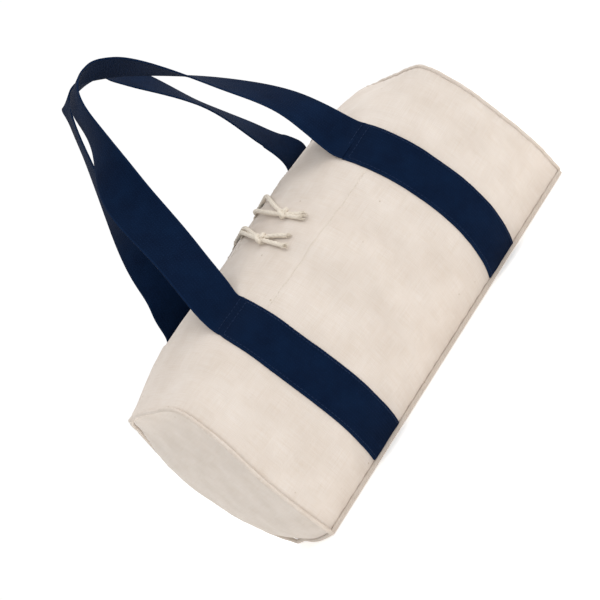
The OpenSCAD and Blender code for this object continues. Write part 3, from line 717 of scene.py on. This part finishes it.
def makeBase(b):
    edges = {side: skinPoint(side, np.linspace(-1, 1, 61), 0)[0] for side in sideNames}
    rows = np.linspace(0.012, 0.988, 21)[:, None, None]
    grid = edges[-1][None] * (1 - rows) + edges[1][None] * rows
    ripple = 0.25 * softNoise(grid[..., 0], grid[..., 1], 60, 31)
    low, high = grid.copy(), grid.copy()
    low[..., 2] = 0.3 + np.abs(ripple)
    high[..., 2] = b["thick"] + ripple
    addPiece("basePanel", slab(low, high, grid[..., :2] * mm), "canvas")
    sides = b["weltSides"]
    angles = np.arange(sides) * 2 * math.pi / sides
    u, w = [np.sign(wave) * np.abs(wave) ** 0.6 for wave in (np.cos(angles), np.sin(angles))]
    for side, name in sideNames.items():
        # folded strip, pressed flat
        line = evenPath(edges[side], 3)
        x, y = line[:, :1], line[:, 1:2]
        rings = np.stack([np.broadcast_to(x, (len(line), sides)),
                          y + side * (u * b["weltThick"] / 2 + 0.12 * np.sin(x * 0.9)),
                          b["weltHeight"] / 2 + 0.1 + w * b["weltHeight"] / 2 * (1 + 0.02 * np.sin(x * 1.3))], axis=-1)
        faces = ringFaces(len(line), sides)
        if side < 0:
            faces = [f[::-1] for f in faces]
        uvs = np.stack([x + 0 * u, np.arange(sides) + 0 * x], axis=-1).reshape(-1, 2) * mm
        addPiece(name + "BaseWelt", (rings.reshape(-1, 3), faces, uvs), "piping")


# how far each end panel stands off its seams, in mm: a row for each height, a column for each share across
ends = {
    -1: {"power": 2, "across": (-1, -0.86, -0.6, -0.25, 0.15, 0.5, 0.68, 0.86, 1),
         "heights": (4, 12, 30, 60, 95, 130, 155, 180, 198, 212),
         "out": ((0, 0.4, 0.4, -0.6, -2.4, -3.4, -3, -1.6, 0), (0, 1.2, 1.8, 1.8, 0.8, 0, 0, 0, 0),
                 (0, 1.5, 3, 4, 4.4, 4.6, 4.2, 2.4, 0), (0, -1.5, -0.5, 2, 5, 7, 6.6, 3.8, 0),
                 (0, -4.5, -3.5, 0, 4.5, 7.6, 7.4, 4.2, 0), (0, -6, -5.5, -1.5, 4, 8.6, 8.8, 5, 0),
                 (0, -6, -5.5, -2, 3.5, 8, 8.3, 4.8, 0), (0, -3.5, -4, -2, 1.5, 4.6, 4.8, 2.8, 0),
                 (0, -1, -1.5, -1, 0, 0.8, 0.8, 0.4, 0), (0, 0, 0, 0, 0, 0, 0, 0, 0))},
    1: {"power": 1, "across": (-1, -0.8, -0.4, 0, 0.4, 0.8, 1),
        "heights": (4, 30, 80, 130, 175, 198, 212),
        "out": ((0, 0.4, 0.8, 0.8, 0.8, 0.4, 0), (0, 1, 2, 2, 2.5, 1.6, 0), (0, -1, -2.5, -3, -1, 0.6, 0),
                (0, -1.5, -4, -5, -3, -0.4, 0), (0, -1, -3, -4, -3, -1, 0), (0, 0, -0.8, -1, -0.8, 0, 0),
                (0, 0, 0, 0, 0, 0, 0))},
}


def standOff(e, across, z):
    # smooth reading of the table above, at each share across and each height
    levels = np.array([readCurve(across, list(zip(e["across"], row))) for row in e["out"]])
    return np.stack([readCurve(z[:, i], list(zip(e["heights"], levels[:, i]))) for i in range(len(across))], axis=1)


def makeEndPanel(end, name, arcs, front, back):
    # one slack cloth between the two seams, gives back the lowest row of its outer face
    nearSeams = np.array([0.98, 0.95])
    across = np.sort(np.concatenate([np.linspace(-1, 1, 57), nearSeams, -nearSeams]))
    share = (across + 1) / 2
    grid = front[:, None] * (1 - share)[None, :, None] + back[:, None] * share[None, :, None]
    grid[..., 0] = front[:, :1] + (back - front)[:, :1] * share[None] ** ends[end]["power"]
    z = grid[..., 2]
    crown = (1 - across ** 2) * np.sin(math.pi * arcs)[:, None] ** 0.6
    dent = standOff(ends[end], across, z) + base["slack"] * crown * softNoise(grid[..., 1], z, 55, 40 + end)
    # puckers that run in from the seam near the top, and the dip beside the piping
    fromSeam = 1 - np.abs(across)
    dent = dent + (base["pucker"] * hump(fromSeam, 0, 0.22) * fromSeam * smoothStep(z, *base["puckerFrom"])
                   * np.sin(z * 0.34 + 1.5 * softNoise(z, z * 0, 40, 44)))
    dent = dent - body["ditch"][end] * hump(fromSeam, 0, 0.035) * smoothStep(z, 4, 14)
    outer = grid.copy()
    outer[..., 0] += end * dent
    inner = outer.copy()
    inner[..., 0] -= end * body["canvas"]
    addPiece(name + "EndPanel", slab(inner, outer, np.stack([grid[..., 1], z], axis=-1) * mm, end > 0), "end")
    return outer[0]


def makeEndPiping(end, name, arcs, seams, lowest):
    # all round the seam, and along the foot of the end
    b = base
    offFace, offEnd = b["pipeOut"][end]
    ditch = body["ditch"][end]
    rise = (offFace + ditch - (b["sink"] + ditch) * smoothStep(arcs, 0.86, 1))[:, None]
    front, back = [seam + way * rise + np.array([end * offEnd, 0, 0]) for seam, way in seams]
    for line in (front, back):
        line[:, 2] = np.maximum(line[:, 2], b["pipe"] / 2)
    floor = lowest[4:-4:6] - np.array([end * b["tuck"], 0, 0])
    floor[:, 2] = b["pipe"] / 2
    loop = np.concatenate([front, back[::-1], floor[::-1], front[:1]])
    addPiece(name + "EndPiping", tube(evenPath(loop, 2.5)[:-1], b["pipe"] / 2, sides=14, closed=True), "piping")


def makeTopStrip(end, name):
    # closes the ridge beyond the mouth
    shares = end * np.linspace(body["mouthHalfLength"] / halfLength, 1, 31)
    front, back = [skinPoint(side, shares, 1)[0] for side in sideNames]
    mix = np.linspace(0, 1, 9)[:, None, None]
    strip = front[None] * (1 - mix) + back[None] * mix
    ripple = base["ripple"] * softNoise(strip[..., 0], strip[..., 1], 20, 50)
    strip[..., 2] += base["crown"] * np.sin(math.pi * mix[..., 0]) + ripple
    under = strip.copy()
    under[..., 2] -= body["canvas"]
    addPiece(name + "TopStrip", slab(under, strip, strip[..., :2] * mm, end < 0), "canvas")


def makeEnds(b):
    arcs = np.linspace(0, 1, 81)
    for end, name in endNames.items():
        seams = [skinPoint(side, end, arcs) for side in sideNames]
        lowest = makeEndPanel(end, name, arcs, seams[0][0], seams[1][0])
        makeEndPiping(end, name, arcs, seams, lowest)
        makeTopStrip(end, name)
        # tape that binds the seam inside
        columns = sorted(end * (1 - share) for share in b["binding"])
        parts = [patch(side, np.linspace(columns[0], columns[1], 4), np.linspace(0.01, 0.99, 61)[:, None],
                       -body["canvas"] - b["bindingDeep"], -body["canvas"] - 0.05) for side in sideNames]
        addPiece(name + "SeamBinding", joinParts(parts), "lining")


makeBase(base)
makeEnds(base)
print("base and ends made")


# inside the mouth: facing, tunnels and the cord that runs in them

mouth = {"cord": 4.6, "room": 0.5, "turnOut": 8, "clear": 3, "facingShare": 0.985}


def makeMouth(m):
    canvas, half = body["canvas"], body["mouthHalfLength"]
    for side, name in sideNames.items():
        low, hem = arcAt(side, 0, body["facing"]), arcAtReach(side, 0, body["hemY"])
        shares = np.linspace(-m["facingShare"], m["facingShare"], 81)
        addPiece(name + "Facing", patch(side, shares, np.linspace(low, hem, 18)[:, None], -2 * canvas, -canvas - 0.02),
                 "lining")
        bulge = (np.sin(math.pi * np.linspace(0, 1, 15)) ** 0.5 * (m["cord"] + m["room"]))[:, None]
        shares = np.linspace(-half / halfLength, half / halfLength, 101)
        addPiece(name + "MouthHem", patch(side, shares, np.linspace(hem, 1, 15)[:, None], -2 * canvas - bulge,
                                          -canvas - bulge), "lining")
    for number, (end, name) in enumerate(endNames.items()):
        # from one hole along its tunnel, round the mouth's end and back to the other hole
        stop = end * half
        lines = []
        for side, sideName in sideNames.items():
            x = np.linspace(holes[sideName][number] + end * m["clear"], stop, 20)
            v = np.array([holeArc(side, k) for k in x])
            lines.append(skinPoint(side, x / halfLength, v, -canvas - m["cord"] / 2 - 0.3)[0])
        last = lines[0][-1]
        t = np.linspace(0, math.pi, 12)[1:-1]
        turn = np.stack([stop + end * m["turnOut"] * np.sin(t), -abs(last[1]) * np.cos(t), 0 * t + last[2]], axis=1)
        path = evenPath(np.concatenate([lines[0], turn, lines[1][::-1]]), 1.6)
        addPiece(name + "DrawcordRun", tube(path, m["cord"] / 2, sides=16, lobes=cordParts["strands"],
                                            pitch=cordParts["pitch"], depth=cordParts["groove"]), "rope")


makeMouth(mouth)
print("mouth made")


# webbing: bands sewn to the faces and the turned edge that each handle folds round

# the handle's own webbing starts a little below the seam, flush with the band, and leaves the cloth at the seam
# at its left feet it is bent, and so a little narrower
strap = {"width": 46.8, "thick": 1.8, "off": 0.02, "lap": 9, "foldRound": 0.75, "foldRise": 0.25,
         "neck": {-1: 0.07, 1: 0.0}, "neckLength": 14}


def acrossStrap(s):
    # places and thickness across the webbing, thinner at its edges
    places = np.array([-1, -0.985, -0.95, -0.8, -0.5, 0, 0.5, 0.8, 0.95, 0.985, 1]) * s["width"] / 2
    thick = s["thick"] * np.array([0.45, 0.8, 1, 0.98, 1, 1, 1, 0.98, 1, 0.8, 0.45])
    return places, thick


def bandMiddle(end, v):
    return readCurve(v, body["bandLine"][end])


def narrowing(s, end, far):
    # share of its width that the webbing keeps so far from the seam
    return 1 - s["neck"][end] * np.exp(-(far / s["neckLength"]) ** 2)


def seamArc(side, end):
    return arcAt(side, body["bandX"][end] / halfLength, body["seam"])


def makeBands(s):
    places, thick = acrossStrap(s)
    for side, name in sideNames.items():
        for end, endName in endNames.items():
            label = name + endName.capitalize()
            top = seamArc(side, end)
            arcs = np.linspace(0.006, top - s["lap"] / faceLength + 0.0003, 74)[:, None]
            x = bandMiddle(end, arcs) + places * narrowing(s, end, (top - arcs) * faceLength)
            addPiece(label + "Band", patch(side, x / halfLength, arcs, s["off"], s["off"] + thick, places), "webbing")
            # pressed fold at the seam, a low ridge across the webbing
            line = skinPoint(side, (bandMiddle(end, top) + places * 0.94) / halfLength, top,
                             s["thick"] + s["foldRise"] - s["foldRound"])[0]
            addPiece(label + "Fold", tube(evenPath(line[1:-1], 1.2), s["foldRound"]), "webbing")


makeBands(strap)
print("bands made")


# each handle's middle line between its two feet, from left to right: x, y, z in mm and the way the webbing faces
handles = {
    "front": ((-82.8, -78, 267, 5), (-54.9, -55.5, 339.8, -27.7), (-18.9, -41.2, 397.1, -86.5), (5.4, -31, 436.4, -91),
              (32.9, -24.3, 447.2, -85.2), (56, -28.5, 431.7, -87.4), (74.1, -39.6, 400.6, -100.9),
              (100.2, -57.5, 332.1, -132.6), (116, -78.5, 266, -153)),
    "back": ((-99, 72, 216, -2), (-90, 50, 224.5, -6), (-84, 41, 240, -14), (-72.8, 33.2, 264.1, -26.1),
             (-53.1, 31.5, 331.2, -84.6), (-15, 25.1, 397.6, -101.5), (12.7, 28, 436.3, -100.7), (27.1, 24, 451, -87.7),
             (67.7, 29, 440.9, -128.1), (87.9, 24, 411.6, -140.5), (111.7, 26.3, 339.4, -121), (130.3, 42, 273, -137),
             (132.6, 40, 254, -145), (134.6, 43, 236, -153), (134, 53, 223.6, -164), (125, 76, 212, -177)),
    # near the top the webbing leans toward the viewer: how many degrees, where along the handle, over what share of it
    "lean": {"front": (1, 0.569, 0.083), "back": (0.1, 0.488, 0.12)},
    "step": 2.4, "evenings": 6, "footRun": 16, "freeShare": 0.12,
    "cup": 0.9, "cupRate": 0.021, "cupStart": {-1: 1, 1: 2},
    "pivotY": 98.67, "pivotZ": 198.33, "blendFrom": 1, "blendRise": 26,
}


def handlePath(side, name, h, s):
    # middle line, the two directions across it, and how far along each station is from the nearer foot
    feet = []
    for end, facing in ((-1, 0.0), (1, -180.0)):
        v = seamArc(side, end) + np.array([-s["lap"] - h["footRun"], -s["lap"], -s["lap"] / 2, 0]) / faceLength
        feet.append(np.column_stack([skinPoint(side, bandMiddle(end, v) / halfLength, v, s["thick"] / 2 + 0.05)[0],
                                     np.full(4, facing)]))
    left, right = feet
    free = curveThrough([left[0], left[3], *h[name], right[3], right[0]], 12)[12:-12]
    path = evenPath(np.concatenate([left[1:3], free, right[2:0:-1]]), h["step"])
    for _ in range(h["evenings"]):
        path[1:-1] = (path[:-2] + 2 * path[1:-1] + path[2:]) / 4
    centre, turn = path[:, :3], np.radians(path[:, 3])
    heading = unitRows(np.gradient(centre, axis=0))
    share = np.arange(len(path)) / (len(path) - 1)
    way = np.minimum(share, share[::-1])
    flat = np.stack([np.cos(turn), np.sin(turn), 0 * turn], axis=1)
    dots = (flat * heading).sum(1, keepdims=True)
    u = unitRows(flat - np.minimum(way / h["freeShare"], 1)[:, None] * heading * dots)
    most, place, reach = h["lean"][name]
    lean = np.radians(most * hump(share, place, reach))[:, None]
    u = u * np.cos(lean) + np.cross(heading, u) * np.sin(lean)
    return centre, u, unitRows(np.cross(heading, u)), way


def makeHandle(side, name, h, s):
    centre, u, v, way = handlePath(side, name, h, s)
    places, thick = acrossStrap(s)
    # a slight cup across the width, and small waves along it
    along = np.arange(len(centre)) * h["step"]
    cup = h["cup"] * np.sin(along * h["cupRate"] + h["cupStart"][side]) * smoothStep(way, 0.03, 0.14)
    bow = cup[:, None] * ((places / (s["width"] / 2)) ** 2 - 0.35)[None]
    width = narrowing(s, -1, along - s["lap"]) * narrowing(s, 1, along[-1] - along - s["lap"])
    line = centre[:, None] + u[:, None] * (places[None] * width[:, None])[..., None] + v[:, None] * bow[..., None]
    half = v[:, None] * (thick / 2)[None, :, None]
    uv = np.stack(np.broadcast_arrays(places[None] * mm, along[:, None] * mm), axis=-1)
    handle = addPiece(name + "Handle", slab(line - half, line + half, uv), "webbing", None)
    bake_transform(handle)
    print(name, "handle is", round(lengthsAlong(centre)[-1]), "mm long")


for side, name in sideNames.items():
    makeHandle(side, name, handles, strap)
print("handles made")


# stitches, each one its own short thread

stitch = {"long": 3.2, "pitch": 4.0, "thick": 0.6, "edgeIn": 3.0, "rowIn": 3.6, "rows": (6.5, 15), "facingReach": 89}


def stitchParts(line, s):
    # small loaf-shaped threads along a line of points and their outward ways
    points, normals = line
    along = lengthsAlong(points)
    count = int(along[-1] / s["pitch"])
    parts = []
    for k in range(count):
        stations = along[-1] * (k + 0.5) / count + np.array([-0.5, -0.36, 0, 0.36, 0.5]) * s["long"]
        stations = np.clip(stations, 0, along[-1])
        p, n = [np.stack([np.interp(stations, along, row) for row in rows.T], axis=1) for rows in (points, normals)]
        p = p + n * (np.array([-0.3, 0.05, 0.18, 0.05, -0.3]) * s["thick"])[:, None]
        parts.append(tube(p, np.array([0.3, 0.9, 1, 0.9, 0.3]) * s["thick"] / 2, sides=6))
    return parts


def makeStitches(s):
    half, lift = strap["width"] / 2, strap["thick"] + 0.1
    for side, name in sideNames.items():
        for end, endName in endNames.items():
            label = name + endName.capitalize()
            top = seamArc(side, end)
            length = float(np.interp(bandMiddle(end, top) / halfLength, shareGrid, skins[side][1]))
            rowArcs = [top - r / length for r in s["rows"]]
            v = np.linspace(0.01, rowArcs[1], 160)
            reach = half * narrowing(strap, end, (top - v) * faceLength) - s["edgeIn"]
            parts = []
            for edge in (-1, 1):
                x = bandMiddle(end, v) + edge * reach
                parts += stitchParts(skinPoint(side, x / halfLength, v, lift), s)
            addPiece(label + "EdgeStitches", joinParts(parts), "navyThread")
            parts = []
            for v in rowArcs:
                x = np.linspace(-1, 1, 40) * (half - s["rowIn"]) + bandMiddle(end, v)
                parts += stitchParts(skinPoint(side, x / halfLength, v, lift), s)
            addPiece(label + "TackRows", joinParts(parts), "navyThread")
        shares = np.linspace(-s["facingReach"], s["facingReach"], 200) / halfLength
        for label, v in (("Facing", arcAt(side, 0, body["facing"])), ("Hem", arcAtReach(side, 0, body["hemY"]))):
            line = skinPoint(side, shares, v + 0.0012 * np.sin(shares * 60), 0.05)
            addPiece(name + label + "Stitches", joinParts(stitchParts(line, s)), "creamThread")


def makeEyelets(s):
    # holes worked round with thread, like a buttonhole
    r0 = s["diameter"] / 2 - 0.25
    r1 = s["diameter"] / 2 + s["rim"]
    for side, name in sideNames.items():
        for pull, place in zip(("left", "right"), s[name]):
            middle, normal = skinPoint(side, place / halfLength, holeArc(side, place), 0.15)
            u = unitRows(np.cross(normal, (0, 0, 1.0)) if abs(normal[2]) < 0.9 else np.cross(normal, (1.0, 0, 0)))
            w = np.cross(normal, u)
            parts = []
            for k in range(s["yarns"]):
                a = 2 * math.pi * k / s["yarns"]
                way = u * math.cos(a) + w * math.sin(a)
                line = np.array([middle + way * out + normal * up for out, up in
                                 ((r0, -0.5), (r0 + 0.15, 0.25), ((r0 + r1) / 2, 0.4), (r1, -0.1))])
                parts.append(tube(line, np.array([0.3, 0.36, 0.36, 0.25]), sides=6))
            addPiece(name + pull.capitalize() + "Eyelet", joinParts(parts), "creamThread", "bag",
                     pull + "_" + name + "_eyelet")


makeStitches(stitch)
makeEyelets(holes)
print("stitches made")


# floor and light

studio = {
    "floor": ("#FAFAF9", "#F7F7F5"), "glow": 0.42, "backdrop": 1.02, "leftDim": 0.48,
    # place, target, size in m and power of each light
    "lights": {"keyLight": ((1.6, -1.4, 1.9), (0.05, 0, 0.15), 1.4, 8),
               "fillLight": ((-1.6, -1.4, 0.8), (-0.05, 0, 0.12), 1.6, 0.9),
               "topLight": ((0.1, -0.3, 2.3), (0.0, 0, 0.2), 1.8, 15)},
}


def makeFloor(s):
    # painted board: pale, matt and lit from itself a little, so that it stays near white
    bpy.ops.mesh.primitive_plane_add(size=12, location=(0, 0, -0.0005))
    floor = bpy.context.object
    floor.name = "floor"
    material = bpy.data.materials.new("paintedFloor")
    tree = emptyTree(material)
    grain = addNode(tree, "TexNoise", {"Scale": 3.0, "Detail": 2.0}, {}, "Fac")
    tone = addNode(tree, "MixRGB", {"Color1": linear(s["floor"][0]), "Color2": linear(s["floor"][1])}, {"Fac": grain})
    surface = addNode(tree, "BsdfPrincipled", {"Roughness": 0.9, "Specular IOR Level": 0.1,
                      "Emission Color": (1, 1, 1, 1), "Emission Strength": s["glow"]}, {"Base Color": tone})
    addNode(tree, "OutputMaterial", {}, {"Surface": surface})
    floor.data.materials.append(material)


def makeWorld(s):
    # paler toward the back and the right, dimmer on the left
    world = bpy.data.worlds.new("paleStudio")
    bpy.context.scene.world = world
    tree = emptyTree(world)
    place = addNode(tree, "TexCoord", {}, {}, "Generated")
    x, y = list(addNode(tree, "SeparateXYZ", {}, {"Vector": place}).node.outputs)[:2]
    left = addNode(tree, "MapRange", {"From Min": -1.0, "From Max": 0.5, "To Min": s["leftDim"]}, {"Value": x})
    behind = addNode(tree, "MapRange", {"From Min": 0.3, "From Max": 0.75}, {"Value": y})
    # the backdrop itself is white from every side
    seen = addNode(tree, "LightPath", {}, {}, "Is Camera Ray")
    tone = left
    for factor in (behind, seen):
        tone = addNode(tree, "Mix", {"data_type": "FLOAT", "B": s["backdrop"]}, {"Factor": factor, "A": tone})
    sky = addNode(tree, "Background", {"Color": (1, 1, 1, 1)}, {"Strength": tone})
    addNode(tree, "OutputWorld", {}, {"Surface": sky})


def makeLights(s):
    for name, (place, target, size, power) in s["lights"].items():
        data = bpy.data.lights.new(name, "AREA")
        data.size, data.energy = size, power
        light = bpy.data.objects.new(name, data)
        bpy.context.scene.collection.objects.link(light)
        light.location = place
        light.rotation_mode = "QUATERNION"
        light.rotation_quaternion = (Vector(target) - Vector(place)).to_track_quat("-Z", "Y")


bpy.context.scene.view_settings.view_transform = "Standard"
makeFloor(studio)
makeWorld(studio)
makeLights(studio)
print("studio made")

bpy.context.view_layer.update()
